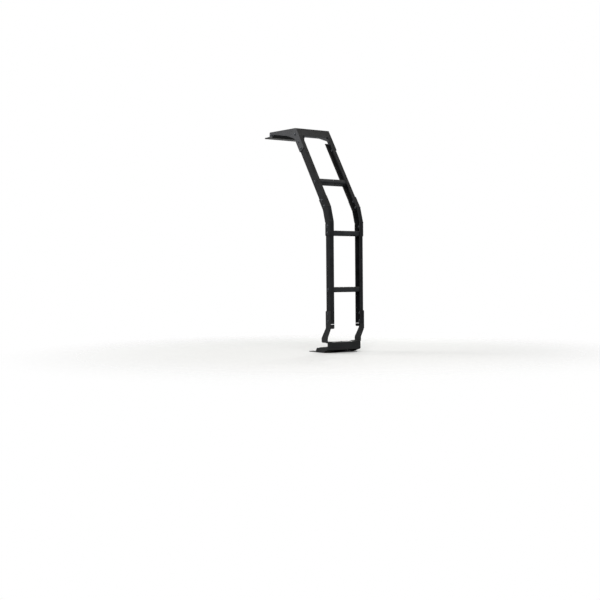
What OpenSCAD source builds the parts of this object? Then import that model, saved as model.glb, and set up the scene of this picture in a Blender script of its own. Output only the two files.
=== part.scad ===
// Tailgate ladder: two folded channel rails, three box rungs, elbow sleeves at the bend,
// roof arms over the top edge and dogleg brackets down to a hook plate under the door.
// X across the ladder, Y towards the front of the vehicle, Z up, in millimetres.
// The origin is the middle of the bearing face on top of the lower hook plate's tongue.

/* [Sheet metal] */
// Thickness of the folded sheet of rails, arms, brackets and plates
sheet_t = 3; // [2:0.5:4]
// Thickness of the folded sheet of the elbow sleeves
sleeve_t = 2; // [1.5:0.5:3]
// Inside radius of every fold
fold_r = 2; // [1:0.5:4]
// Clearance round every bolt in its hole, on the diameter
bolt_clearance = 0.8; // [0.4:0.1:1.5]
// Diameter of the bolts that join rails, sleeves, brackets and rungs
bolt_d = 8; // [5:1:10]

/* [Rails] */
// Width over the two rails
ladder_w = 200; // [170:5:260]
// Depth of a rail from its rear face to its front face
rail_depth = 40; // [34:1:50]
// Width of a rail's folded flanges
rail_flange = 21; // [15:1:30]
// Distance from the bearing face's middle back to the rails' front face
rail_setback = 125; // [110:5:160]
// Height of the rails' lower end over the bearing face
rail_foot_z = 140; // [132:1:150]
// Gap left between lower and upper rail inside the elbow sleeve
rail_gap = 6; // [2:1:12]

/* [Elbow sleeves] */
// Height of the lower bend
elbow_z = 640; // [600:1:660]
// Height from the lower bend to the upper bend
elbow_rise = 76; // [50:1:90]
// Lean of the upper rails from upright
lean = 33; // [20:0.5:40]
// Length of the sleeve below the lower bend
elbow_lower_len = 69; // [60:1:90]
// Length of the sleeve above the upper bend
elbow_upper_len = 66; // [62:1:100]
// Width of the relief gap between two folded flanges at a bend
relief_gap = 3; // [2:0.5:5]

/* [Rungs] */
// Height of a rung's box section
rung_h = 26; // [20:1:32]
// Depth of a rung's box section
rung_d = 32; // [24:1:33]
// Wall of a rung's box section
rung_wall = 2; // [1.5:0.5:3]
// Outside radius of a rung's corners
rung_corner = 8; // [4:1:9]
// Thickness of the threaded plug in each end of a rung
plug_t = 8; // [5:1:12]
// Height of the lower rung's middle
lower_rung_z = 308; // [280:1:330]
// Height of the middle rung's middle
middle_rung_z = 584; // [580:1:590]
// Distance of the upper rung's middle from the upper bend, along the leaning rail
upper_rung_s = 165; // [140:1:200]

/* [Roof arms] */
// Height of the top corner of the arms
apex_z = 1131; // [1100:1:1160]
// Reach of the arms forward from the top corner
arm_reach = 252; // [200:1:300]
// Rise of the arms' top edge from the top corner to the front
arm_rise = 9; // [0:1:20]
// Height of an arm's web where the arch begins, at the front leg
arm_tip_h = 14; // [12:1:24]
// Height of an arm's web at the shoulder behind the arch
arm_shoulder_h = 33; // [24:1:38]
// Distance from the top corner forward to the shoulder
arm_shoulder_y = 84; // [70:1:110]
// Width of the front leg
leg_w = 25; // [18:1:34]
// Height of the front leg under the arm's top edge
leg_h = 31; // [26:1:40]
// Length of the arm's tail over the rail, from the rail's top end
arm_tail_len = 72; // [70:1:100]
// Height of the top step plate, along the lean
step_h = 46; // [36:1:60]
// Gap between the rails' top end and the top step plate's lower edge, along the lean
step_gap = 11; // [0:1:14]
// Depth of the top step plate's tread
step_tread = 46; // [34:1:60]
// Width of the tabs at the top step plate's ends
step_tab = 24; // [20:1:30]

/* [Upper hook plate] */
// Length of the upper hook plate's tongue in front of the leg
upper_tongue = 52; // [40:1:70]
// Height of the upper tongue's underside over the foot of the legs
upper_tongue_z = 6; // [4:1:10]
// Thickness of the rubber under the tongue
upper_rubber_t = 3; // [2:0.5:5]
// Distance between the upper tongue's two screw holes
upper_hole_gap = 120; // [80:5:150]
// Diameter of the clamping screws in the tongues
clamp_screw_d = 6; // [4:1:8]

/* [Lower brackets] */
// Length of the bracket over the rail
bracket_lap = 64; // [56:1:90]
// Height where the dogleg starts, over the bearing face
dogleg_top_z = 115; // [110:1:120]
// Height where the dogleg ends, over the bearing face
dogleg_low_z = 70; // [64:1:84]
// Forward shift of the dogleg
dogleg_shift = 36; // [25:1:45]
// Depth of the bracket below the dogleg
bracket_low_depth = 49; // [44:1:56]
// Gap between the rail's lower end and the two tabs under it
tab_gap = 2; // [1:0.5:4]
// Height of the rear tab
rear_tab_h = 21; // [12:1:24]
// Height of the front tab
front_tab_h = 14; // [8:1:16]
// Width of the flange at the bracket's lower end
bracket_flange = 26; // [20:1:34]

/* [Bottom channel and lower hook plate] */
// Height of the bottom channel's lower edge over the bearing face
channel_low_z = 11; // [8:1:18]
// Height of the bottom channel's rear wall
channel_h = 39; // [30:1:44]
// Height of the lower hook plate's shelf at the rear wall
shelf_rear_z = 28; // [24:1:30]
// Height of the lower hook plate's shelf at its middle bend
shelf_bend_z = 23; // [20:0.5:26]
// Distance from the bearing face's middle back to the shelf's middle bend
shelf_bend_y = 70; // [60:1:80]
// Height of the lower hook plate's shelf at its front end
shelf_front_z = 17; // [14:1:19]
// Distance from the bearing face's middle back to the shelf's front end
shelf_front_y = 46; // [40:1:52]
// Distance from the bearing face's middle back to the foot of the lip
lip_foot_y = 33; // [28:1:36]
// Depth of the lower hook plate's top flange, bolted under the channel
hook_flange = 38; // [36:1:41]
// Width of the lower hook plate's leg and top flange
hook_neck_w = 140; // [60:5:150]
// Distance from the bearing face's middle back to the cheeks' lower rear corner
cheek_foot_y = 87; // [76:1:100]
// Length of the tongue forward from the lip
lower_tongue = 58; // [50:1:66]
// Distance between the lower tongue's two screw holes
lower_hole_gap = 120; // [80:5:150]
// Thickness of the rubber over the shelf's front
lower_rubber_t = 3; // [2:0.5:4]

/* [Hidden] */
$fn = 48;

powder_black = [0.07, 0.07, 0.075];
zinc_black = [0.12, 0.12, 0.125];
rubber_black = [0.03, 0.03, 0.03];

hole_d = bolt_d + bolt_clearance;
screw_hole_d = clamp_screw_d + bolt_clearance;
fold_out = fold_r + sheet_t;
// Slack of a plug in a rung's bore, on the width
plug_slack = 0.2;
// How far a cut runs past the face that it opens
cut_past = 1;
// How far a welded plate stays inside the faces of the folded one
weld_inset = 0.5;
rail_rear_y = -rail_setback - rail_depth;
rail_mid = rail_depth / 2;
rail_x = ladder_w / 2;
inner_w = ladder_w - 2 * sheet_t;

// Rear line of the ladder in the side view: up, half lean, full lean
half_lean = lean / 2;
bend_low = [rail_rear_y, elbow_z];
bend_high = bend_low + elbow_rise * [tan(half_lean), 1];
up_dir = [sin(lean), cos(lean)];
front_dir = [cos(lean), -sin(lean)];

// A point on the leaning part: s along the rail from the upper bend, d in from its rear line
function on_lean(s, d) = bend_high + s * up_dir + d * front_dir;

apex_s = (apex_z - bend_high[1]) / up_dir[1];
step_foot_s = apex_s - step_h;
rail_top_s = step_foot_s - step_gap;
apex = on_lean(apex_s, 0);

// Places of the bolts, as points in the side view
elbow_bolt_pitch = 35;
elbow_bolt_s = 14;
elbow_lower_bolts = [
    [rail_rear_y + rail_mid, middle_rung_z],
    [rail_rear_y + rail_mid, middle_rung_z + elbow_bolt_pitch]
];
elbow_upper_bolts = [for (s = [elbow_bolt_s, elbow_bolt_s + elbow_bolt_pitch]) on_lean(s, rail_mid)];
arm_bolt_edge = 13;
arm_bolt_pitch = 42;
arm_bolts = [for (s = [0, arm_bolt_pitch])
    on_lean(rail_top_s - arm_tail_len + arm_bolt_edge + s, rail_mid)];
step_bolt = on_lean(apex_s - step_h / 2, step_tread / 2);
rung_points = [
    [rail_rear_y + rail_mid, lower_rung_z],
    [rail_rear_y + rail_mid, middle_rung_z],
    on_lean(upper_rung_s, rail_mid)
];
bracket_bolt_edge = 12;
bracket_bolt_pitch = 39;
bracket_bolts = [for (z = [0, bracket_bolt_pitch])
    [rail_rear_y + rail_mid, rail_foot_z + bracket_bolt_edge + z]];

arm_front_y = apex[0] + arm_reach;
arm_front_z = apex_z + arm_rise;
leg_foot_z = arm_front_z - leg_h;
leg_bolt = [arm_front_y - leg_w / 2, arm_front_z - leg_h / 2];
tab_top_z = rail_foot_z - tab_gap;
tab_corner = 6;
channel_corner = 6;
channel_rear_y = rail_rear_y + rail_depth - bracket_low_depth + dogleg_shift;
channel_top_z = channel_low_z + channel_h;
channel_bolt_y = channel_rear_y + bracket_low_depth / 2;
channel_bolt_x = rail_x - bracket_flange / 2;

// Outline with rounded corners: each corner is [y, z, radius]
corner_steps = 5;
function unit(v) = v / norm(v);
function corner_arc(a, b, c, r) =
    let (u = unit(a - b), v = unit(c - b), half = acos(u * v) / 2, m = unit(u + v),
         centre = b + m * r / sin(half), start = b + u * r / tan(half) - centre,
         stop = b + v * r / tan(half) - centre)
    [for (i = [0 : corner_steps])
        let (p = unit(start * (1 - i / corner_steps) + stop * i / corner_steps)) centre + p * r];
function rounded(points) = [
    for (i = [0 : len(points) - 1])
        let (n = len(points), a = points[(i + n - 1) % n], b = points[i], c = points[(i + 1) % n])
        for (p = b[2] > 0
            ? corner_arc([a[0], a[1]], [b[0], b[1]], [c[0], c[1]], b[2])
            : [[b[0], b[1]]]) p
];

// Lays a side-view drawing upright: drawn X becomes Y, drawn Y becomes Z, thickness along X
module side_plate(x, t) {
    translate([x, 0, 0]) rotate([90, 0, 90]) linear_extrude(t) children();
}

// Lays a front-view drawing upright: drawn X stays X, drawn Y becomes Z, thickness along Y
module front_plate(y, t) {
    translate([0, y + t, 0]) rotate([90, 0, 0]) linear_extrude(t) children();
}

module mirror_to(side) {
    if (side < 0) children();
    else mirror([1, 0, 0]) children();
}

module cross_bolts(points, d, x0, x1) {
    for (p = points)
        translate([x0, p[0], p[1]]) rotate([0, 90, 0]) cylinder(d = d, h = x1 - x0);
}

// Channel section for the left rail: back along Y at x = 0, flanges towards +X
module channel_section(depth, flange) {
    difference() {
        union() {
            translate([fold_out, 0]) square([flange - fold_out, depth]);
            translate([0, fold_out]) square([fold_out, depth - 2 * fold_out]);
            for (y = [fold_out, depth - fold_out]) translate([fold_out, y]) circle(fold_out);
        }
        translate([sheet_t + fold_r, sheet_t]) square([flange, depth - 2 * sheet_t]);
        translate([sheet_t, fold_out]) square([fold_r + cut_past, depth - 2 * fold_out]);
        for (y = [fold_out, depth - fold_out]) translate([fold_out, y]) circle(fold_r);
    }
}

module lower_rail(side) {
    color(powder_black) mirror_to(side) difference() {
        translate([-rail_x, rail_rear_y, rail_foot_z])
            linear_extrude(elbow_z - rail_gap / 2 - rail_foot_z)
                channel_section(rail_depth, rail_flange);
        cross_bolts(concat(bracket_bolts, elbow_lower_bolts, [rung_points[0]]),
            hole_d, -rail_x - sheet_t, -rail_x + 2 * sheet_t);
    }
}

module upper_rail(side) {
    color(powder_black) mirror_to(side) difference() {
        translate([-rail_x, bend_high[0], bend_high[1]]) rotate([-lean, 0, 0])
            translate([0, 0, rail_gap / 2]) linear_extrude(rail_top_s - rail_gap / 2)
                channel_section(rail_depth, rail_flange);
        cross_bolts(concat(elbow_upper_bolts, arm_bolts, [rung_points[2]]),
            hole_d, -rail_x - sheet_t, -rail_x + 2 * sheet_t);
    }
}

// Sleeve over the bend: its back is cut in one piece, its flanges are folded leg by leg
sleeve_depth = rail_depth + 2 * sleeve_t;
sleeve_flange = rail_flange + sleeve_t;
sleeve_x = -rail_x - sleeve_t;
sleeve_fold = fold_r + sleeve_t;
notch_depth = 1;
sleeve_rear = [
    [rail_rear_y - sleeve_t, elbow_z - elbow_lower_len],
    [rail_rear_y - sleeve_t, elbow_z + sleeve_t * tan(half_lean / 2)],
    bend_high - sleeve_t * (front_dir + up_dir * tan(half_lean / 2)),
    on_lean(elbow_upper_len, -sleeve_t)
];

function seg_dir(i) = unit(sleeve_rear[i + 1] - sleeve_rear[i]);
function seg_angle(i) = atan2(seg_dir(i)[0], seg_dir(i)[1]);
function bend_shift(i) = tan((seg_angle(i) - seg_angle(i - 1)) / 2);
function to_front(i) = [seg_dir(i)[1], -seg_dir(i)[0]];
// Offsets a corner of the sleeve's rear line forward by d along the mitre
function sleeve_corner(i, d) =
    i == 0 ? sleeve_rear[0] + d * to_front(0)
    : i == 3 ? sleeve_rear[3] + d * to_front(2)
    : sleeve_rear[i] + d * (to_front(i) + seg_dir(i) * bend_shift(i));

// Section of a fold in flat steps: a stub of the back, the bend and the flange's leg
fold_steps = 4;
function fold_arc(r) = [for (i = [0 : fold_steps]) let (a = 180 + 90 * i / fold_steps)
    [sleeve_fold + r * cos(a), sleeve_fold + r * sin(a)]];
stub = sleeve_fold + 3 * notch_depth;
fold_section = concat(
    [[0, stub]], fold_arc(sleeve_fold), [[sleeve_flange, 0], [sleeve_flange, sleeve_t]],
    [for (i = [fold_steps : -1 : 0]) fold_arc(fold_r)[i]], [[sleeve_t, stub]]);

// One folded flange along a straight stretch of the sleeve's edge
module folded_flange(from, along, turned, len) {
    translate([sleeve_x, from[0], from[1]]) rotate([-atan2(along[0], along[1]), 0, 0])
        mirror([0, turned, 0]) linear_extrude(len) polygon(fold_section);
}

// Closed seam of the rear flanges at bend i, between the two legs beside it
module rear_seam(i) {
    reach = relief_gap * seg_dir(i);
    back_reach = relief_gap * seg_dir(i - 1);
    outer = sleeve_corner(i, weld_inset);
    inner = sleeve_corner(i, sleeve_t - weld_inset);
    side_plate(sleeve_x + sleeve_fold, sleeve_flange - sleeve_fold - weld_inset)
        polygon([outer - back_reach, outer, outer + reach, inner + reach, inner,
            inner - back_reach]);
}

module elbow_sleeve(side) {
    color(powder_black) mirror_to(side) difference() {
        union() {
            for (i = [1, 2]) rear_seam(i);
            side_plate(sleeve_x, sleeve_t) polygon(concat(
                [for (i = [0 : 3]) sleeve_corner(i, sleeve_fold + notch_depth)],
                [for (i = [3 : -1 : 0])
                    sleeve_corner(i, sleeve_depth - sleeve_fold - notch_depth)]));
            for (i = [0 : 2], d = [0, sleeve_depth]) {
                start = sleeve_corner(i, d);
                run = norm(sleeve_corner(i + 1, d) - start);
                folded_flange(start + relief_gap / 2 * seg_dir(i), seg_dir(i), d > 0 ? 1 : 0,
                    run - relief_gap);
            }
        }
        cross_bolts(concat(elbow_lower_bolts, elbow_upper_bolts), hole_d,
            sleeve_x - sleeve_t, sleeve_x + 2 * sleeve_t);
    }
}

module rounded_box(w, h, r) {
    square([w - 2 * r, h], center = true);
    square([w, h - 2 * r], center = true);
    for (x = [-1, 1], y = [-1, 1]) translate([x * (w / 2 - r), y * (h / 2 - r)]) circle(r);
}

module rung_bore(slack) {
    rounded_box(rung_d - 2 * rung_wall - slack, rung_h - 2 * rung_wall - slack,
        rung_corner - rung_wall - slack / 2);
}

// Places a rung's drawing: drawn X along its depth, thickness across the ladder from x
module across(place, tilt, x, t) {
    translate([x, place[0], place[1]]) rotate([-tilt, 0, 0]) rotate([90, 0, 90])
        linear_extrude(t) children();
}

module rung(place, tilt) {
    color(powder_black) across(place, tilt, -inner_w / 2, inner_w) difference() {
        rounded_box(rung_d, rung_h, rung_corner);
        rung_bore(0);
    }
}

// Plug with a threaded hole, in one end of a rung
module rung_plug(side, place, tilt) {
    color(zinc_black) mirror_to(side) across(place, tilt, -inner_w / 2, plug_t) difference() {
        rung_bore(plug_slack);
        circle(d = bolt_d);
    }
}

arm_corner = 5;
arch_corner = 18;
// Height of the arch's foot over the top step plate's lower edge, along the lean
arch_rise = 9;
module arm_outline() {
    tail_s = rail_top_s - arm_tail_len;
    tail_rear = on_lean(tail_s, 0);
    tail_front = on_lean(tail_s, rail_depth);
    arch_foot = on_lean(step_foot_s + arch_rise, rail_depth);
    shoulder_y = apex[0] + arm_shoulder_y;
    top_slope = arm_rise / arm_reach;
    polygon(rounded([
        [apex[0], apex[1], arm_corner],
        [arm_front_y, arm_front_z, arm_corner],
        [arm_front_y, leg_foot_z, 0],
        [arm_front_y - leg_w, leg_foot_z, 0],
        [arm_front_y - leg_w, arm_front_z - arm_tip_h, arm_corner],
        [shoulder_y, apex_z + arm_shoulder_y * top_slope - arm_shoulder_h, arch_corner],
        [arch_foot[0], arch_foot[1], 2 * arm_corner],
        [tail_front[0], tail_front[1], arm_corner],
        [tail_rear[0], tail_rear[1], arm_corner]
    ]));
}

module roof_arm(side) {
    color(powder_black) mirror_to(side) difference() {
        side_plate(-rail_x - sheet_t, sheet_t) arm_outline();
        cross_bolts(concat(arm_bolts, [step_bolt, leg_bolt]), hole_d,
            -rail_x - 2 * sheet_t, -rail_x + sheet_t);
    }
}

// Folded top step: a leaning rear face, a level tread and a bolted tab at each end
module top_step_plate() {
    inner_corner_s = apex_s - sheet_t * (1 - sin(lean)) / cos(lean);
    foot = on_lean(step_foot_s, 0);
    foot_in = on_lean(step_foot_s, sheet_t);
    inner_corner = on_lean(inner_corner_s, sheet_t);
    tread_end = apex + [step_tread, 0];
    tab_foot = on_lean(step_foot_s + weld_inset, weld_inset);
    tab_top = on_lean(inner_corner_s, sheet_t - weld_inset);
    tab_low = on_lean(step_foot_s + weld_inset, step_tab);
    color(powder_black) difference() {
        union() {
            side_plate(-rail_x, ladder_w) polygon(rounded([
                [foot[0], foot[1], 0], [apex[0], apex[1], fold_out],
                [tread_end[0], tread_end[1], 0], [tread_end[0], tread_end[1] - sheet_t, 0],
                [inner_corner[0], inner_corner[1], fold_r], [foot_in[0], foot_in[1], 0]]));
            for (x = [-rail_x, rail_x - sheet_t]) side_plate(x, sheet_t) polygon(rounded([
                [tab_foot[0], tab_foot[1], 0], [tab_top[0], tab_top[1], 0],
                [tread_end[0] - weld_inset, tread_end[1] - weld_inset, 0],
                [tab_low[0], tab_low[1], arm_corner]]));
        }
        cross_bolts([step_bolt], hole_d, -rail_x - sheet_t, rail_x + sheet_t);
    }
}

// Folded hook over the top edge: upright wall between the legs, tongue forward, end tabs
module upper_hook_plate() {
    wall_y = arm_front_y - sheet_t;
    tongue_z = leg_foot_z + upper_tongue_z;
    tongue_end = arm_front_y + upper_tongue;
    wall_top = arm_front_z - sheet_t;
    color(powder_black) difference() {
        union() {
            side_plate(-rail_x, ladder_w) polygon(rounded([
                [wall_y, tongue_z, fold_out], [tongue_end, tongue_z, 0],
                [tongue_end, tongue_z + sheet_t, 0],
                [arm_front_y, tongue_z + sheet_t, fold_r], [arm_front_y, wall_top, 0],
                [wall_y, wall_top, 0]]));
            for (x = [-rail_x, rail_x - sheet_t]) side_plate(x, sheet_t) polygon(rounded([
                [arm_front_y - leg_w, tongue_z, fold_out], [arm_front_y - weld_inset, tongue_z, 0],
                [arm_front_y - weld_inset, wall_top, 0], [arm_front_y - leg_w, wall_top, 0]]));
        }
        cross_bolts([leg_bolt], hole_d, -rail_x - sheet_t, rail_x + sheet_t);
        for (x = [-1, 1])
            translate([x * upper_hole_gap / 2, arm_front_y + upper_tongue / 2, tongue_z - cut_past])
                cylinder(d = screw_hole_d, h = sheet_t + 2 * cut_past);
    }
}

module upper_rubber_strip() {
    color(rubber_black) difference() {
        translate([-rail_x, arm_front_y, leg_foot_z + upper_tongue_z - upper_rubber_t])
            cube([ladder_w, upper_tongue, upper_rubber_t]);
        for (x = [-1, 1]) translate([x * upper_hole_gap / 2, arm_front_y + upper_tongue / 2,
            leg_foot_z]) cylinder(d = screw_hole_d, h = upper_tongue_z + cut_past);
    }
}

module bracket_outline() {
    front = rail_rear_y + rail_depth;
    low_rear = channel_rear_y;
    low_front = low_rear + bracket_low_depth;
    polygon(rounded([
        [rail_rear_y, rail_foot_z + bracket_lap, arm_corner],
        [front, rail_foot_z + bracket_lap, arm_corner],
        [front, dogleg_top_z + arm_corner, arm_corner],
        [low_front, dogleg_low_z, 2 * arm_corner],
        [low_front, channel_top_z, 0],
        [low_rear, channel_top_z, 0],
        [low_rear, dogleg_low_z, 2 * arm_corner],
        [rail_rear_y, tab_top_z - rear_tab_h, arm_corner]
    ]));
}

// Tab folded in under a rail's flange, as wide as the flange
module bracket_tab(y, h) {
    w = rail_flange + sheet_t;
    front_plate(y, sheet_t) translate([-rail_x - sheet_t, tab_top_z - h])
        polygon(rounded([[0, 0, 0], [w, 0, tab_corner], [w, h, 0], [0, h, 0]]));
}

module lower_bracket(side) {
    color(powder_black) mirror_to(side) difference() {
        union() {
            side_plate(-rail_x - sheet_t, sheet_t) bracket_outline();
            bracket_tab(rail_rear_y, rear_tab_h);
            bracket_tab(rail_rear_y + rail_depth - sheet_t, front_tab_h);
            translate([-rail_x - sheet_t, channel_rear_y, channel_top_z])
                cube([bracket_flange + sheet_t, bracket_low_depth, sheet_t]);
        }
        cross_bolts(bracket_bolts, hole_d, -rail_x - 2 * sheet_t, -rail_x + sheet_t);
        translate([-channel_bolt_x, channel_bolt_y, channel_top_z - cut_past])
            cylinder(d = hole_d, h = sheet_t + 2 * cut_past);
    }
}

// Holes for the bolts that hold brackets, channel and hook plate, through the sheet over z
module channel_bolt_holes(z) {
    for (x = [-channel_bolt_x, 0, channel_bolt_x])
        translate([x, channel_bolt_y, z - cut_past])
            cylinder(d = hole_d, h = sheet_t + 2 * cut_past);
}

// Folded channel between the brackets, its rear wall with rounded lower corners
module bottom_channel() {
    front = channel_rear_y + bracket_low_depth;
    under = channel_top_z - sheet_t;
    color(powder_black) difference() {
        intersection() {
            side_plate(-rail_x, ladder_w) polygon(rounded([
                [channel_rear_y, channel_low_z, 0], [channel_rear_y, channel_top_z, fold_out],
                [front, channel_top_z, 0], [front, under, 0],
                [channel_rear_y + sheet_t, under, fold_r],
                [channel_rear_y + sheet_t, channel_low_z, 0]]));
            front_plate(channel_rear_y - cut_past, bracket_low_depth + 2 * cut_past)
                polygon(rounded([
                    [-rail_x, channel_low_z, channel_corner], [rail_x, channel_low_z, channel_corner],
                    [rail_x, channel_top_z + cut_past, 0], [-rail_x, channel_top_z + cut_past, 0]]));
        }
        channel_bolt_holes(under);
    }
}

// Folded hook under the door: top flange, leg, sloping shelf, lip and tongue with end cheeks
module lower_hook_plate() {
    rear = channel_rear_y + sheet_t;
    top = channel_top_z - sheet_t;
    half_t = sheet_t / 2;
    tongue_end = lower_tongue - lip_foot_y;
    color(powder_black) difference() {
        union() {
            side_plate(-rail_x, ladder_w) polygon(rounded([
                [rear, top, fold_out], [rear + hook_flange, top, 0],
                [rear + hook_flange, top - sheet_t, 0], [rear + sheet_t, top - sheet_t, fold_r],
                [rear + sheet_t, shelf_rear_z, fold_r], [-shelf_bend_y, shelf_bend_z, fold_out],
                [-shelf_front_y, shelf_front_z, fold_out], [-lip_foot_y, 0, fold_r],
                [tongue_end, 0, 0], [tongue_end, -sheet_t, 0],
                [-lip_foot_y - sheet_t, -sheet_t, fold_out],
                [-shelf_front_y - sheet_t, shelf_front_z - sheet_t, fold_r],
                [-shelf_bend_y, shelf_bend_z - sheet_t, fold_r],
                [rear, shelf_rear_z - sheet_t, fold_out]]));
            for (x = [-rail_x, rail_x - sheet_t]) side_plate(x, sheet_t) polygon([
                [rear + half_t, shelf_rear_z - half_t], [-shelf_bend_y, shelf_bend_z - half_t],
                [-shelf_front_y - half_t, shelf_front_z - half_t], [-lip_foot_y - half_t, -half_t],
                [-lip_foot_y, -sheet_t], [-cheek_foot_y, -sheet_t], [rear + half_t, channel_low_z]]);
        }
        channel_bolt_holes(top - sheet_t);
        for (x = [-rail_x - cut_past, hook_neck_w / 2])
            translate([x, rear - cut_past, shelf_rear_z + fold_r])
                cube([rail_x + cut_past - hook_neck_w / 2, hook_flange + 2 * cut_past, top]);
        for (x = [-1, 1]) translate([x * lower_hole_gap / 2, 0, -sheet_t - cut_past])
            cylinder(d = screw_hole_d, h = sheet_t + 2 * cut_past);
    }
}

module lower_rubber_strip() {
    top = [-shelf_front_y, shelf_front_z];
    along = unit([-lip_foot_y, 0] - top);
    out = [-along[1], along[0]] * lower_rubber_t;
    foot = [-lip_foot_y, 0] - along * (lower_rubber_t + cut_past);
    color(rubber_black) side_plate(-rail_x, ladder_w) polygon([top, top + out, foot + out, foot]);
}

lower_rail(-1);  // left_lower_rail
lower_rail(1);  // right_lower_rail
upper_rail(-1);  // left_upper_rail
upper_rail(1);  // right_upper_rail
elbow_sleeve(-1);  // left_elbow_sleeve
elbow_sleeve(1);  // right_elbow_sleeve
rung(rung_points[0], 0);  // lower_rung
rung(rung_points[1], 0);  // middle_rung
rung(rung_points[2], lean);  // upper_rung
rung_plug(-1, rung_points[0], 0);  // left_lower_rung_plug
rung_plug(1, rung_points[0], 0);  // right_lower_rung_plug
rung_plug(-1, rung_points[1], 0);  // left_middle_rung_plug
rung_plug(1, rung_points[1], 0);  // right_middle_rung_plug
rung_plug(-1, rung_points[2], lean);  // left_upper_rung_plug
rung_plug(1, rung_points[2], lean);  // right_upper_rung_plug
roof_arm(-1);  // left_roof_arm
roof_arm(1);  // right_roof_arm
top_step_plate();
upper_hook_plate();
upper_rubber_strip();
lower_bracket(-1);  // left_lower_bracket
lower_bracket(1);  // right_lower_bracket
bottom_channel();
lower_hook_plate();
lower_rubber_strip();
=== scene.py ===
import math

import bmesh
import bpy
from mathutils import Matrix, Vector


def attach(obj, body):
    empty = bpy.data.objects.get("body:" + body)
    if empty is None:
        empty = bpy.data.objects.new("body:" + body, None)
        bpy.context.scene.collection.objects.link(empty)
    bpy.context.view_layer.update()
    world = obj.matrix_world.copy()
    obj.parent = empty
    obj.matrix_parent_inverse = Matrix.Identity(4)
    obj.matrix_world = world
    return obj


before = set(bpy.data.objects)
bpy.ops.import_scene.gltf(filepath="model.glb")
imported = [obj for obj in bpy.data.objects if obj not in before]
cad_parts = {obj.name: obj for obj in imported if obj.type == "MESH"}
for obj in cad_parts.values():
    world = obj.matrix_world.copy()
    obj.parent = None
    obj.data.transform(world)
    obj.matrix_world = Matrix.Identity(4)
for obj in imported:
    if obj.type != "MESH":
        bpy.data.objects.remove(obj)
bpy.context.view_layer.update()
print("ladder: solids loaded,", len(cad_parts), "nodes")

mm = 0.001  # the solids are in metres, the numbers below in millimetres unless they say otherwise

# The camera's place in metres, its turns in degrees, its lens in mm on a 36 mm wide frame
viewpoint = {
    "place": (-2.865, -4.052, 0.356),
    "yaw": 33.63,  # from straight ahead towards the right
    "pitch": -1.16,
    "roll": -0.48,
    "lens": 58.84,
    "sensor": 36,
}


def placeCamera(view):
    yaw, pitch, roll = (math.radians(view[key]) for key in ("yaw", "pitch", "roll"))
    ahead = Vector((math.sin(yaw) * math.cos(pitch), math.cos(yaw) * math.cos(pitch),
                    math.sin(pitch)))
    level = Vector((math.cos(yaw), -math.sin(yaw), 0))
    upright = level.cross(ahead)
    across = math.cos(roll) * level + math.sin(roll) * upright
    up = math.cos(roll) * upright - math.sin(roll) * level
    turn = Matrix((across, up, -ahead)).transposed().to_4x4()
    data = bpy.data.cameras.new("ladder_camera")
    data.lens = view["lens"]
    data.sensor_width = view["sensor"]
    camera = bpy.data.objects.new("ladder_camera", data)
    camera.matrix_world = Matrix.Translation(view["place"]) @ turn
    bpy.context.collection.objects.link(camera)
    bpy.context.scene.camera = camera


placeCamera(viewpoint)
bpy.context.scene.view_settings.view_transform = "Standard"
print("ladder: camera placed")


def linearFromHex(code):
    parts = [int(code[i:i + 2], 16) / 255 for i in (1, 3, 5)]
    return (*[p / 12.92 if p <= 0.04045 else ((p + 0.055) / 1.055) ** 2.4 for p in parts], 1)


def addNode(tree, kind, settings=None, links=None):
    # A setting goes to the socket of that name or number, or else to the node's own option
    node = tree.nodes.new("ShaderNode" + kind)
    for key, value in (settings or {}).items():
        if isinstance(key, int) or key in node.inputs:
            node.inputs[key].default_value = value
        else:
            setattr(node, key, value)
    for key, socket in (links or {}).items():
        tree.links.new(socket, node.inputs[key])
    return node


def newMaterial(name):
    material = bpy.data.materials.new(name)
    material.use_nodes = True
    material.node_tree.nodes.clear()
    return material, material.node_tree


# Textured polyester powder coat, sprayed and baked on folded steel. It gives the eye a dull, nearly
# black skin with a pebbled grain, greyer patches where it has weathered, a paler line where the
# folds are rubbed, fine scuffs, and a little dust where it faces up.
powderCoat = {
    "colour": "#0f1011", "weathered": "#1e1f21", "rubbed": "#5b5d60", "dust": "#66625a",
    "roughness": (0.42, 0.68), "ior": 1.5, "gloss": 0.09,
    "grain": 1.6,  # the real pebbles are about 0.4 mm and too fine to show, so drawn coarser
    "grainNoise": {"Detail": 3},
    "grainDepth": 0.22, "grainStrength": 0.9,
    "patch": 45,  # size of a weathered patch
    "patchNoise": {"Detail": 5, "Roughness": 0.62},
    "patchFade": {"From Min": 0.35, "From Max": 0.70},
    "scuff": 6,  # length of a scuff
    "scuffNoise": {"Detail": 6, "Roughness": 0.7},
    "scuffFade": {"From Min": 0.40, "From Max": 0.66},
    "dullFade": {"From Min": 0.3, "From Max": 0.7},  # from smooth to dull, by the scuffs
    "edgeReach": 1.3, "edgeSamples": 6,  # how far the rubbing comes in from a fold's edge
    "edgeFade": {"From Min": 0.985, "From Max": 0.80},  # by how much the fold turns in that reach
    "edgeShare": 0.75,
    "dustFade": {"From Min": 0.30, "From Max": 0.95},  # by how far a face looks up
    "dustShare": 0.30,
}


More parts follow.
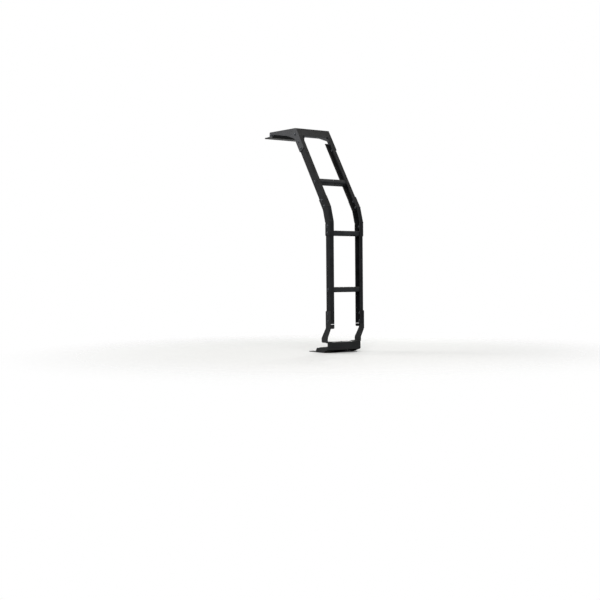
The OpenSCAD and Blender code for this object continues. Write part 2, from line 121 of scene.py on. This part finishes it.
def makePowderCoat(name, look):
    material, tree = newMaterial(name)
    place = addNode(tree, "TexCoord").outputs["Object"]
    cloud = addNode(tree, "TexNoise", {"Scale": 1 / (look["patch"] * mm), **look["patchNoise"]},
                    {"Vector": place}).outputs[0]
    pebbles = addNode(tree, "TexNoise", {"Scale": 1 / (look["grain"] * mm), **look["grainNoise"]},
                      {"Vector": place}).outputs[0]
    scuffs = addNode(tree, "TexNoise", {"Scale": 1 / (look["scuff"] * mm), **look["scuffNoise"]},
                     {"Vector": place}).outputs[0]
    grain = addNode(tree, "Bump", {"Strength": look["grainStrength"],
                                   "Distance": look["grainDepth"] * mm},
                    {"Height": pebbles}).outputs[0]
    shape = addNode(tree, "NewGeometry").outputs["Normal"]
    softened = addNode(tree, "Bevel", {"samples": look["edgeSamples"],
                                       "Radius": look["edgeReach"] * mm}).outputs[0]
    alike = addNode(tree, "VectorMath", {"operation": "DOT_PRODUCT"},
                    {0: softened, 1: shape}).outputs["Value"]
    edge = addNode(tree, "MapRange", {**look["edgeFade"], "To Max": look["edgeShare"]},
                   {"Value": alike}).outputs[0]
    worn = addNode(tree, "MapRange", look["scuffFade"], {"Value": scuffs}).outputs[0]
    rubbed = addNode(tree, "Math", {"operation": "MULTIPLY"}, {0: edge, 1: worn}).outputs[0]
    facing = addNode(tree, "SeparateXYZ", {}, {0: shape}).outputs["Z"]
    upper = addNode(tree, "MapRange", {**look["dustFade"], "To Max": look["dustShare"]},
                    {"Value": facing}).outputs[0]
    dusty = addNode(tree, "Math", {"operation": "MULTIPLY"}, {0: upper, 1: cloud}).outputs[0]
    patch = addNode(tree, "MapRange", look["patchFade"], {"Value": cloud}).outputs[0]
    base = addNode(tree, "Mix", {"data_type": "RGBA", 6: linearFromHex(look["colour"]),
                                 7: linearFromHex(look["weathered"])}, {0: patch}).outputs[2]
    base = addNode(tree, "Mix", {"data_type": "RGBA", 7: linearFromHex(look["dust"])},
                   {0: dusty, 6: base}).outputs[2]
    base = addNode(tree, "Mix", {"data_type": "RGBA", 7: linearFromHex(look["rubbed"])},
                   {0: rubbed, 6: base}).outputs[2]
    dull = addNode(tree, "MapRange", {**look["dullFade"], "To Min": look["roughness"][0],
                                      "To Max": look["roughness"][1]}, {"Value": scuffs}).outputs[0]
    skin = addNode(tree, "BsdfPrincipled", {"IOR": look["ior"],
                                            "Specular IOR Level": look["gloss"]},
                   {"Base Color": base, "Roughness": dull, "Normal": grain})
    addNode(tree, "OutputMaterial", {}, {"Surface": skin.outputs[0]})
    return material


railCoat = makePowderCoat("powder_coat", powderCoat)
# The roof arms get a lighter, glossier copy of the coat: painted sky light, for the brighter light
# the arms catch above the roof
paintedSkyLightArmCoat = makePowderCoat("arm_coat_painted_sky_light", {
    **powderCoat, "colour": "#1e1f21", "weathered": "#313235", "gloss": 0.24})
# The upper hook gets a darker, duller copy of the coat: painted shade, for the shadow it lies in
# under the arms
paintedShadeHookCoat = makePowderCoat("hook_coat_painted_shade", {
    **powderCoat, "colour": "#0b0c0c", "weathered": "#131415", "gloss": 0.07})
# The brackets and the foot sit low, out of the sun: less weathered, and a little dustier
bracketCoat = makePowderCoat("bracket_powder_coat", {
    **powderCoat, "weathered": "#18191a", "gloss": 0.18, "dustShare": 0.32})
# Shoes wipe the step plate, so its coat has kept a little more gloss
stepCoat = makePowderCoat("step_powder_coat", {**powderCoat, "gloss": 0.16})
# Shoes polish the rungs a little and rub their edges more
rungCoat = makePowderCoat("rung_powder_coat", {
    **powderCoat, "colour": "#1b1c1e", "weathered": "#2d2f31", "roughness": (0.38, 0.58),
    "edgeShare": 0.9, "dustShare": 0.4})

# Moulded EPDM rubber: deep matt black with a faint grey bloom and a soft, fine skin
mouldedRubber = {
    "colour": "#111111", "bloom": "#232322", "roughness": (0.72, 0.88), "ior": 1.52, "gloss": 0.3,
    "grain": 0.9,  # a real moulded skin is finer than 0.1 mm, so drawn coarser to show
    "grainNoise": {"Detail": 2},
    "grainDepth": 0.08, "grainStrength": 0.4,
    "patch": 18,  # size of a cloud of bloom
    "patchNoise": {"Detail": 4},
}
# Moulded nylon, the ring in a lock nut: smoother, with a cool tint
nylonRing = {**mouldedRubber, "colour": "#1b1d22", "bloom": "#30333a", "roughness": (0.40, 0.55),
             "gloss": 0.5, "grain": 0.6, "patch": 6}


def makeMoulded(name, look):
    material, tree = newMaterial(name)
    place = addNode(tree, "TexCoord").outputs["Object"]
    cloud = addNode(tree, "TexNoise", {"Scale": 1 / (look["patch"] * mm), **look["patchNoise"]},
                    {"Vector": place}).outputs[0]
    fine = addNode(tree, "TexNoise", {"Scale": 1 / (look["grain"] * mm), **look["grainNoise"]},
                   {"Vector": place}).outputs[0]
    grain = addNode(tree, "Bump", {"Strength": look["grainStrength"],
                                   "Distance": look["grainDepth"] * mm},
                    {"Height": fine}).outputs[0]
    base = addNode(tree, "Mix", {"data_type": "RGBA", 6: linearFromHex(look["colour"]),
                                 7: linearFromHex(look["bloom"])}, {0: cloud}).outputs[2]
    dull = addNode(tree, "MapRange", {"To Min": look["roughness"][0],
                                      "To Max": look["roughness"][1]}, {"Value": cloud}).outputs[0]
    skin = addNode(tree, "BsdfPrincipled", {"IOR": look["ior"],
                                            "Specular IOR Level": look["gloss"]},
                   {"Base Color": base, "Roughness": dull, "Normal": grain})
    addNode(tree, "OutputMaterial", {}, {"Surface": skin.outputs[0]})
    return material


rubber = makeMoulded("moulded_rubber", mouldedRubber)
nylon = makeMoulded("nylon_ring", nylonRing)

# Black zinc plating on turned steel: dark satin metal with small lights on its domes,
# and bright corners where a spanner or key has touched it
blackZinc = {
    "colour": "#303235", "bright": "#85878b", "roughness": (0.30, 0.46), "metallic": 0.9,
    "stain": 2.5,  # size of a stain in the plating
    "stainNoise": {"Detail": 4},
    "pitDepth": 0.05, "pitStrength": 0.25,
    "edgeReach": 0.5, "edgeSamples": 6,  # how far the bright wear comes in from a corner
    "edgeFade": {"From Min": 0.98, "From Max": 0.82, "To Max": 0.6},
}


def makeBlackZinc(name, look):
    material, tree = newMaterial(name)
    place = addNode(tree, "TexCoord").outputs["Object"]
    stain = addNode(tree, "TexNoise", {"Scale": 1 / (look["stain"] * mm), **look["stainNoise"]},
                    {"Vector": place}).outputs[0]
    shape = addNode(tree, "NewGeometry").outputs["Normal"]
    softened = addNode(tree, "Bevel", {"samples": look["edgeSamples"],
                                       "Radius": look["edgeReach"] * mm}).outputs[0]
    alike = addNode(tree, "VectorMath", {"operation": "DOT_PRODUCT"},
                    {0: softened, 1: shape}).outputs["Value"]
    edge = addNode(tree, "MapRange", look["edgeFade"], {"Value": alike}).outputs[0]
    base = addNode(tree, "Mix", {"data_type": "RGBA", 6: linearFromHex(look["colour"]),
                                 7: linearFromHex(look["bright"])}, {0: edge}).outputs[2]
    dull = addNode(tree, "MapRange", {"To Min": look["roughness"][0],
                                      "To Max": look["roughness"][1]}, {"Value": stain}).outputs[0]
    pitted = addNode(tree, "Bump", {"Strength": look["pitStrength"],
                                    "Distance": look["pitDepth"] * mm},
                     {"Height": stain}).outputs[0]
    skin = addNode(tree, "BsdfPrincipled", {"Metallic": look["metallic"]},
                   {"Base Color": base, "Roughness": dull, "Normal": pitted})
    addNode(tree, "OutputMaterial", {}, {"Surface": skin.outputs[0]})
    return material


boltSteel = makeBlackZinc("black_zinc_steel", blackZinc)

# Which finish a solid gets, by a word in its name; the last word that fits counts
# the arms' finish carries painted sky light, the upper hook's finish painted shade
finishes = {
    "rail": railCoat, "sleeve": railCoat, "step": stepCoat, "arm": paintedSkyLightArmCoat, "rung": rungCoat,
    "bracket": bracketCoat, "hook": bracketCoat, "upper_hook": paintedShadeHookCoat, "channel": bracketCoat,
    "plug": boltSteel, "rubber": rubber,
}
for name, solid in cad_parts.items():
    finish = [finishes[word] for word in finishes if word in name][-1]
    solid.data.materials.clear()
    solid.data.materials.append(finish)
print("ladder: finishes on")

# The ladder's side view, as the solids have it: lengths in mm, the lean in degrees
sideView = {
    "railRear": -165, "railDepth": 40, "railFlange": 21, "railFoot": 140, "halfWidth": 100,
    "sheet": 3, "foldInner": 2, "sleeve": 2,
    "bendLow": 640, "bendRise": 76, "lean": 33,
    "lowerRung": 308, "middleRung": 584, "upperRung": 165,
    "topCorner": 1131, "stepHeight": 46, "stepGap": 11, "stepTread": 46,
    "armTail": 72, "armReach": 252, "armRise": 9, "legWidth": 25, "legHeight": 31,
    "channelRear": -138, "channelTop": 50, "channelDepth": 49,
}


def leanPoint(s, d):
    # s along the leaning rail from its bend, d in from its rear face
    lean = math.radians(sideView["lean"])
    y = sideView["railRear"] + sideView["bendRise"] * math.tan(lean / 2)
    z = sideView["bendLow"] + sideView["bendRise"]
    return y + s * math.sin(lean) + d * math.cos(lean), z + s * math.cos(lean) - d * math.sin(lean)


halfDepth = sideView["railDepth"] / 2
railMid = sideView["railRear"] + halfDepth
webFace = sideView["halfWidth"]
sleeveFace = webFace + sideView["sleeve"]
armFace = webFace + sideView["sheet"]
leanCos = math.cos(math.radians(sideView["lean"]))
topS = (sideView["topCorner"] - sideView["bendLow"] - sideView["bendRise"]) / leanCos
railTopS = topS - sideView["stepHeight"] - sideView["stepGap"]
armFrontY = leanPoint(topS, 0)[0] + sideView["armReach"]
armFrontZ = sideView["topCorner"] + sideView["armRise"]


def addPiece(mesh, name, finishList, sharpAngle):
    data = bpy.data.meshes.new(name)
    bmesh.ops.recalc_face_normals(mesh, faces=mesh.faces)
    mesh.to_mesh(data)
    mesh.free()
    data.set_sharp_from_angle(angle=math.radians(sharpAngle))
    for finish in finishList:
        data.materials.append(finish)
    piece = bpy.data.objects.new(name, data)
    bpy.context.collection.objects.link(piece)
    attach(piece, "root")


# The upper rails are cut off at a slant: the rear flange runs on up to the step plate
railTop = {"rise": 10.3, "clear": 2, "foldSteps": 6, "sharpAngle": 40}


def cutRailTop(side, name):
    flange, sheet, inner = sideView["railFlange"], sideView["sheet"], sideView["foldInner"]
    depth, outer, steps = sideView["railDepth"], sheet + inner, railTop["foldSteps"]
    arc = [math.pi / 2 * i / steps for i in range(steps + 1)]
    # the channel's section as x in from the web's face and d in from the rear face
    section = [(flange, 0)]
    section += [(outer - outer * math.sin(a), outer - outer * math.cos(a)) for a in arc]
    section += [(0, depth - railTop["clear"]), (sheet, depth - railTop["clear"])]
    section += [(outer - inner * math.cos(a), outer - inner * math.sin(a)) for a in arc]
    section += [(flange, sheet)]
    mesh = bmesh.new()
    rows = []
    for share in (0, 1):
        row = []
        for x, d in section:
            s = railTopS + share * railTop["rise"] * (1 - d / depth)
            row.append(mesh.verts.new(Vector((side * (webFace - x), *leanPoint(s, d))) * mm))
        rows.append(row)
    for i in range(len(section)):
        j = (i + 1) % len(section)
        mesh.faces.new((rows[0][i], rows[0][j], rows[1][j], rows[1][i])).smooth = True
    mesh.faces.new(rows[0])
    mesh.faces.new(list(reversed(rows[1])))
    addPiece(mesh, name, [railCoat], railTop["sharpAngle"])


cutRailTop(-1, "left_rail_top")
cutRailTop(1, "right_rail_top")
print("ladder: rail tops cut")

# A weld closes each elbow's rear seams and the relief holes at their folds, and the upper bend's
# front seam: a rippled bead under the coat, round the corner from the flange's edge on to the web
weld = {
    "halfWidth": 2.3, "halfHeight": 1.0, "round": 12,
    "station": 0.45, "ripple": 1.8, "rippleShare": 0.14,
    "endShare": 0.35, "endGrowth": 0.4,  # the ends start this thin and grow by this a station
    "onWeb": 3.0, "edgeInset": 0.6, "sharpAngle": 60,
}


def weldPath(flange, fold):
    # Stations along the seam: x in from the web's face, d in from the rear face, the outward turn
    step, arc = weld["station"], fold * math.pi / 2
    run = flange - weld["edgeInset"] - fold
    stations = []
    for i in range(int((run + arc + weld["onWeb"]) / step) + 1):
        way = i * step
        if way < run:
            stations.append((fold + run - way, 0, 0))
        elif way < run + arc:
            turn = (way - run) / fold
            stations.append((fold - fold * math.sin(turn), fold - fold * math.cos(turn), turn))
        else:
            stations.append((0, fold + way - run - arc, math.pi / 2))
    return stations


def addBead(mesh, side, bend, tilt, facing):
    # bend is the rail's rear corner there; facing is -1 for a seam in the rear face, 1 in front
    sleeve = sideView["sleeve"]
    seamCos = math.cos(math.radians(sideView["lean"]) / 4)
    frontward = Vector((0, math.cos(tilt), -math.sin(tilt)))
    along = Vector((0, math.sin(tilt), math.cos(tilt)))
    stations = weldPath(sideView["railFlange"] + sleeve, sleeve + sideView["foldInner"])
    rows = []
    for i, (x, d, turn) in enumerate(stations):
        out = Vector((side * math.sin(turn), 0, 0)) + frontward * facing * math.cos(turn)
        depth = sideView["railDepth"] + sleeve - d if facing > 0 else d - sleeve
        middle = Vector((side * (sleeveFace - x), *bend)) + frontward * depth / seamCos
        wave = 0.5 + 0.5 * math.cos(math.tau * i * weld["station"] / weld["ripple"])
        taper = weld["endShare"] + weld["endGrowth"] * min(i, len(stations) - 1 - i)
        swell = (1 - weld["rippleShare"] * wave) * min(1, taper)
        row = []
        for k in range(weld["round"]):
            a = math.tau * k / weld["round"]
            point = middle + (along * weld["halfWidth"] * math.cos(a)
                              + out * weld["halfHeight"] * math.sin(a)) * swell
            row.append(mesh.verts.new(point * mm))
        rows.append(row)
    for lower, upper in zip(rows, rows[1:]):
        for k in range(weld["round"]):
            j = (k + 1) % weld["round"]
            mesh.faces.new((lower[k], lower[j], upper[j], upper[k])).smooth = True
    mesh.faces.new(rows[0])
    mesh.faces.new(list(reversed(rows[-1])))


def weldElbow(side, name):
    # the lean comes in two equal bends, and each seam halves its own
    quarter = math.radians(sideView["lean"]) / 4
    low = (sideView["railRear"], sideView["bendLow"])
    high = (low[0] + sideView["bendRise"] * math.tan(2 * quarter), low[1] + sideView["bendRise"])
    mesh = bmesh.new()
    addBead(mesh, side, low, quarter, -1)
    addBead(mesh, side, high, 3 * quarter, -1)
    addBead(mesh, side, high, 3 * quarter, 1)
    addPiece(mesh, name, [railCoat], weld["sharpAngle"])


weldElbow(-1, "left_elbow_welds")
weldElbow(1, "right_elbow_welds")
print("ladder: elbow seams welded")

# M8 screws with a low flanged head outside, and inside a washer and a lock nut with a nylon ring;
# thin press nuts where the hook plate leaves no room. Each part has a lathe's profile, radius and
# rise in mm. A third number makes that ring a hexagon, the radius its half width over flats, and
# says how steeply its corners fall away, as a nut's turned chamfer does.
bolt = {
    "points": 24,  # round every turned part
    "head": [(4, -1), (4, 0), (7.8, 0), (8, 0.2), (8, 0.6), (7.75, 0.8), (6.6, 0.8)],
    "dome": {"rise": 3, "turn": 70, "steps": 6},
    "socket": [(2, 2.9, 0), (2, 1.3, 0)],
    "washer": [(4.2, 0), (7.8, 0), (8, 0.2), (8, 0.95), (7.75, 1.2), (4.2, 1.2)],
    "nut": [(3.7, 1.2), (6.3, 1.2), (6.5, 1.7, -0.5), (6.5, 7.3, 0.55), (6.2, 7.7), (3.7, 7.7)],
    "nylonRing": [(3.7, 7.5), (5.6, 7.5), (5.4, 8.75), (4.6, 9.2), (3.7, 9.2)],
    "pressNut": [(3.7, 0), (6, 0), (6.2, 0.3), (6.2, 2), (5.8, 2.4), (3.7, 2.4)],
    "thread": {"crest": 4, "root": 3.45, "pitch": 1.25, "foot": 3.4, "leadIn": 0.1, "leadOut": 1},
    "tip": [(3.5, -0.7), (2.9, 0)],
    # how far the tip stands out behind the joint; a tapped screw ends inside its plug
    "reach": {"nut": 11.7, "pressNut": 2.7, "tapped": 0},
    "sharpAngle": 32,
}


def boltRing(size, rise, slope=None):
    ring = []
    for i in range(bolt["points"]):
        turn = math.tau * i / bolt["points"]
        radius, fall = size, 0
        if slope is not None:
            radius = size / math.cos((turn + math.pi / 6) % (math.pi / 3) - math.pi / 6)
            fall = slope * (radius - size)
        ring.append(Vector((radius * math.cos(turn), radius * math.sin(turn), rise - fall)))
    return ring


def turnPart(mesh, profile, place, closed=False, finish=0):
    rows = [[mesh.verts.new(place @ (point * mm)) for point in boltRing(*cut)] for cut in profile]
    if closed:
        rows.append(rows[0])
    for low, high in zip(rows, rows[1:]):
        for i in range(len(low)):
            j = (i + 1) % len(low)
            face = mesh.faces.new((low[i], low[j], high[j], high[i]))
            face.material_index = finish
            face.smooth = True
    if not closed:
        mesh.faces.new(rows[-1]).material_index = finish
        mesh.faces.new(list(reversed(rows[0]))).material_index = finish


def addHead(mesh, place):
    dome, (rim, low) = bolt["dome"], bolt["head"][-1]
    full = math.radians(dome["turn"])
    crown = []
    for step in range(1, dome["steps"] + 1):
        turn = full * step / dome["steps"]
        crown.append((rim * math.cos(turn),
                      low + (dome["rise"] - low) * math.sin(turn) / math.sin(full)))
    turnPart(mesh, bolt["head"] + crown + bolt["socket"], place)


def addThread(mesh, place, low, high):
    thread = bolt["thread"]
    profile, rise, onCrest = [(thread["foot"], low)], low + thread["leadIn"], False
    while rise < high - thread["leadOut"]:
        profile.append((thread["crest"] if onCrest else thread["root"], rise))
        onCrest, rise = not onCrest, rise + thread["pitch"] / 2
    profile += [(radius, high + drop) for radius, drop in bolt["tip"]]
    turnPart(mesh, profile, place)


def addBolt(mesh, place, grip, ending="nut"):
    # place has the head towards its +Z and the joint's outer face at 0; grip is the joint's depth
    addHead(mesh, place)
    back = place @ Matrix.Translation((0, 0, -grip * mm)) @ Matrix.Rotation(math.pi, 4, "X")
    if ending == "nut":
        turnPart(mesh, bolt["washer"], back, closed=True)
        turnPart(mesh, bolt["nut"], back, closed=True)
        turnPart(mesh, bolt["nylonRing"], back, closed=True, finish=1)
    if ending == "pressNut":
        turnPart(mesh, bolt["pressNut"], back, closed=True)
    addThread(mesh, back, -grip, bolt["reach"][ending])


def sidePlace(side, face, point, spin):
    # On the outside of a rail: side is -1 or 1, face the joint's outer face, spin turns the socket
    outward = Matrix.Rotation(math.pi / 2 * side, 4, "Y")
    spun = Matrix.Rotation(math.radians(spin), 4, "Z")
    return Matrix.Translation(Vector((side * face, *point)) * mm) @ outward @ spun


# Where the screws go, in mm along each joint, and how far each one's socket happens to be turned
screws = {
    "elbowLean": ((14, 5), (49, 22)), "elbowLow": (35, 40),
    "rungSpins": (8, 25, 33), "rungGrips": (12, 14, 12),
    "armTail": ((13, 12), (55, 33)), "stepSpin": 5, "legSpin": 44,
    "bracket": ((12, 29), (51, 11)),
    "channel": 87,
}

twoSheets = 2 * sideView["sheet"]
for side, sideName in ((-1, "left"), (1, "right")):
    mesh = bmesh.new()
    grip = sideView["sleeve"] + sideView["sheet"]
    for s, spin in screws["elbowLean"]:
        addBolt(mesh, sidePlace(side, sleeveFace, leanPoint(s, halfDepth), spin), grip)
    rise, spin = screws["elbowLow"]
    lowPoint = (railMid, sideView["middleRung"] + rise)
    addBolt(mesh, sidePlace(side, sleeveFace, lowPoint, spin), grip)
    addPiece(mesh, sideName + "_elbow_bolts", [boltSteel, nylon], bolt["sharpAngle"])

    mesh = bmesh.new()
    rungs = ((webFace, (railMid, sideView["lowerRung"])),
             (sleeveFace, (railMid, sideView["middleRung"])),
             (webFace, leanPoint(sideView["upperRung"], halfDepth)))
    for (face, point), spin, grip in zip(rungs, screws["rungSpins"], screws["rungGrips"]):
        addBolt(mesh, sidePlace(side, face, point, spin), grip, "tapped")
    addPiece(mesh, sideName + "_rung_bolts", [boltSteel], bolt["sharpAngle"])

    mesh = bmesh.new()
    for s, spin in screws["armTail"]:
        tailPoint = leanPoint(railTopS - sideView["armTail"] + s, halfDepth)
        addBolt(mesh, sidePlace(side, armFace, tailPoint, spin), twoSheets)
    stepPoint = leanPoint(topS - sideView["stepHeight"] / 2, sideView["stepTread"] / 2)
    addBolt(mesh, sidePlace(side, armFace, stepPoint, screws["stepSpin"]), twoSheets)
    legPoint = (armFrontY - sideView["legWidth"] / 2, armFrontZ - sideView["legHeight"] / 2)
    addBolt(mesh, sidePlace(side, armFace, legPoint, screws["legSpin"]), twoSheets)
    addPiece(mesh, sideName + "_arm_bolts", [boltSteel, nylon], bolt["sharpAngle"])

    mesh = bmesh.new()
    for rise, spin in screws["bracket"]:
        footPoint = (railMid, sideView["railFoot"] + rise)
        addBolt(mesh, sidePlace(side, armFace, footPoint, spin), twoSheets)
    addPiece(mesh, sideName + "_bracket_bolts", [boltSteel, nylon],
             bolt["sharpAngle"])

mesh = bmesh.new()
channelMid = sideView["channelRear"] + sideView["channelDepth"] / 2
for x, sheets, ending in ((-1, 1, "pressNut"), (0, 0, "nut"), (1, 1, "pressNut")):
    # the brackets' flanges lie on the channel at its ends, the hook plate's flange under its middle
    spot = (x * screws["channel"], channelMid, sideView["channelTop"] + sheets * sideView["sheet"])
    addBolt(mesh, Matrix.Translation(Vector(spot) * mm), twoSheets, ending)
addPiece(mesh, "channel_bolts", [boltSteel, nylon], bolt["sharpAngle"])
print("ladder: bolts in")

# A pale matt floor under the lower tongue that fades away before its rim; lengths in metres
floorLook = {
    "colour": "#dededc", "specks": "#e6e6e4", "roughness": 0.9, "gloss": 0.1,
    "speck": 0.025, "speckNoise": {"Detail": 4},
    "drop": 0.0035, "radius": 1.8, "segments": 96,
    "clear": {"interpolation_type": "SMOOTHSTEP", "From Min": 0.45, "From Max": 1.7},
}


def makeFloor(look):
    mesh = bmesh.new()
    bmesh.ops.create_circle(mesh, cap_ends=True, segments=look["segments"], radius=look["radius"])
    data = bpy.data.meshes.new("floor")
    mesh.to_mesh(data)
    mesh.free()
    floor = bpy.data.objects.new("floor", data)
    floor.location = (0, 0, -look["drop"])
    bpy.context.collection.objects.link(floor)
    material, tree = newMaterial("pale_floor")
    place = addNode(tree, "TexCoord").outputs["Object"]
    away = addNode(tree, "VectorMath", {"operation": "LENGTH"}, {0: place}).outputs["Value"]
    fade = addNode(tree, "MapRange", look["clear"], {"Value": away}).outputs[0]
    speck = addNode(tree, "TexNoise", {"Scale": 1 / look["speck"], **look["speckNoise"]},
                    {"Vector": place}).outputs[0]
    tone = addNode(tree, "Mix", {"data_type": "RGBA", 6: linearFromHex(look["colour"]),
                                 7: linearFromHex(look["specks"])}, {0: speck}).outputs[2]
    matt = addNode(tree, "BsdfPrincipled", {"Roughness": look["roughness"],
                                            "Specular IOR Level": look["gloss"]},
                   {"Base Color": tone})
    clear = addNode(tree, "BsdfTransparent")
    both = addNode(tree, "MixShader", {}, {0: fade, 1: matt.outputs[0], 2: clear.outputs[0]})
    addNode(tree, "OutputMaterial", {}, {"Surface": both.outputs[0]})
    data.materials.append(material)


# The room's own light, and what the eye sees of the room, where 1 is white
room = {"light": 0.27, "backdrop": 1}
# Soft panels: place, aim and size in metres, power in watts
panels = {
    "panel_high_behind": {"place": (-1.2, -2.6, 2.6), "aim": (0, 0, 0.7), "size": 1.8, "power": 80},
    "panel_overhead": {"place": (-0.3, -1.2, 3.0), "aim": (0, 0, 0.9), "size": 1.2, "power": 10},
    "panel_front_left": {"place": (-1.2, 1.1, 1.9), "aim": (-0.1, 0.15, 1.0), "size": 1.0,
                         "power": 22},
    "panel_front_right": {"place": (2.3, 1.7, 1.0), "aim": (0, 0.1, 0.6), "size": 1.6, "power": 55},
}


def lightRoom(look):
    world = bpy.data.worlds.new("room")
    bpy.context.scene.world = world
    world.use_nodes = True
    tree = world.node_tree
    tree.nodes.clear()
    path = addNode(tree, "LightPath").outputs
    mirrored = addNode(tree, "Math", {"operation": "MAXIMUM"},
                       {0: path["Is Glossy Ray"], 1: path["Is Transmission Ray"]}).outputs[0]
    seen = addNode(tree, "Math", {"operation": "MAXIMUM"},
                   {0: path["Is Camera Ray"], 1: mirrored}).outputs[0]
    light = addNode(tree, "Background", {"Color": (1, 1, 1, 1), "Strength": look["light"]})
    white = addNode(tree, "Background", {"Color": (1, 1, 1, 1), "Strength": look["backdrop"]})
    both = addNode(tree, "MixShader", {}, {0: seen, 1: light.outputs[0], 2: white.outputs[0]})
    addNode(tree, "OutputWorld", {}, {"Surface": both.outputs[0]})


def hangPanel(name, look):
    data = bpy.data.lights.new(name, "AREA")
    data.size = look["size"]
    data.energy = look["power"]
    panel = bpy.data.objects.new(name, data)
    panel.location = look["place"]
    panel.rotation_mode = "QUATERNION"
    aim = Vector(look["aim"]) - Vector(look["place"])
    panel.rotation_quaternion = aim.to_track_quat("-Z", "Y")
    bpy.context.collection.objects.link(panel)


makeFloor(floorLook)
lightRoom(room)
for name, look in panels.items():
    hangPanel(name, look)
print("ladder: floor and light set")
